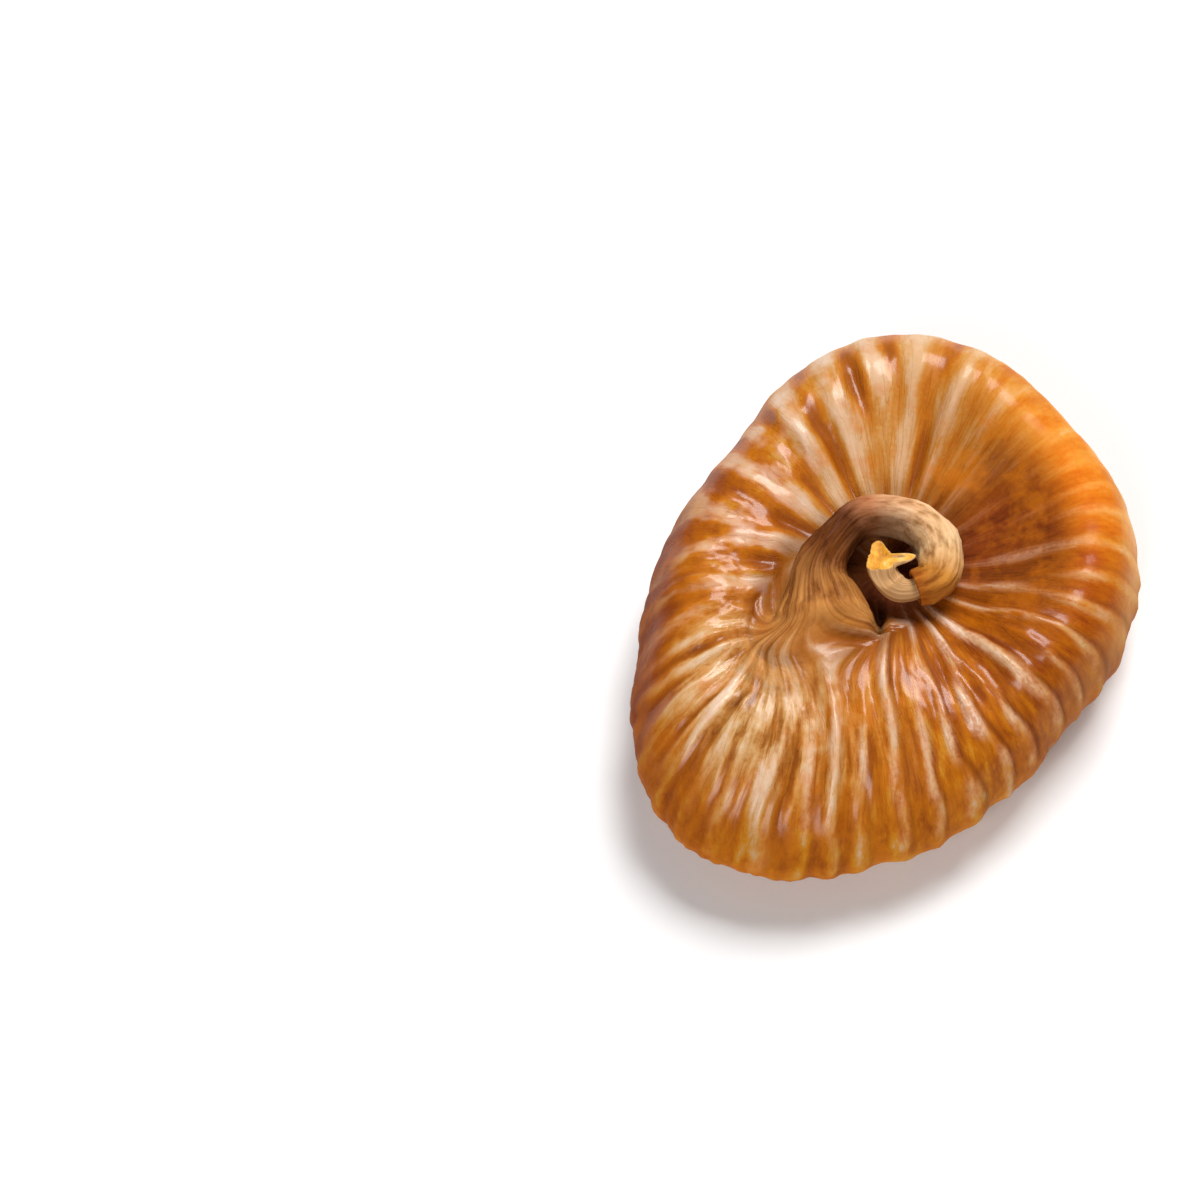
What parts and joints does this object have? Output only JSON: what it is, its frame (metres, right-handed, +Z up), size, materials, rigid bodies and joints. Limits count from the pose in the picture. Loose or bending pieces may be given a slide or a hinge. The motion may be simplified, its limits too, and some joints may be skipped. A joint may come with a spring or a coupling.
{
  "type": "dried fig",
  "caption": "Flat, ribbed dried fig lying face up, with its neck curled round its cut stalk in the hollow of the upper face.",
  "frame": {"origin": "bottom centre of the bounding box, on the surface the fig lies on", "axes": "+Z up out of the hollow with the curled neck, +Y along the longest way across, from the drawn-out fan side to the round side"},
  "size_m": [0.0436, 0.0518, 0.0153],
  "materials": {
    "skin": "glossy, sticky dried fruit skin in amber to red-brown",
    "stalk": "dry, fibrous, dull yellow-ochre"
  },
  "bodies": {
    "root": {"fruit": "skin", "stem": "stalk"}
  },
  "joints": []
}
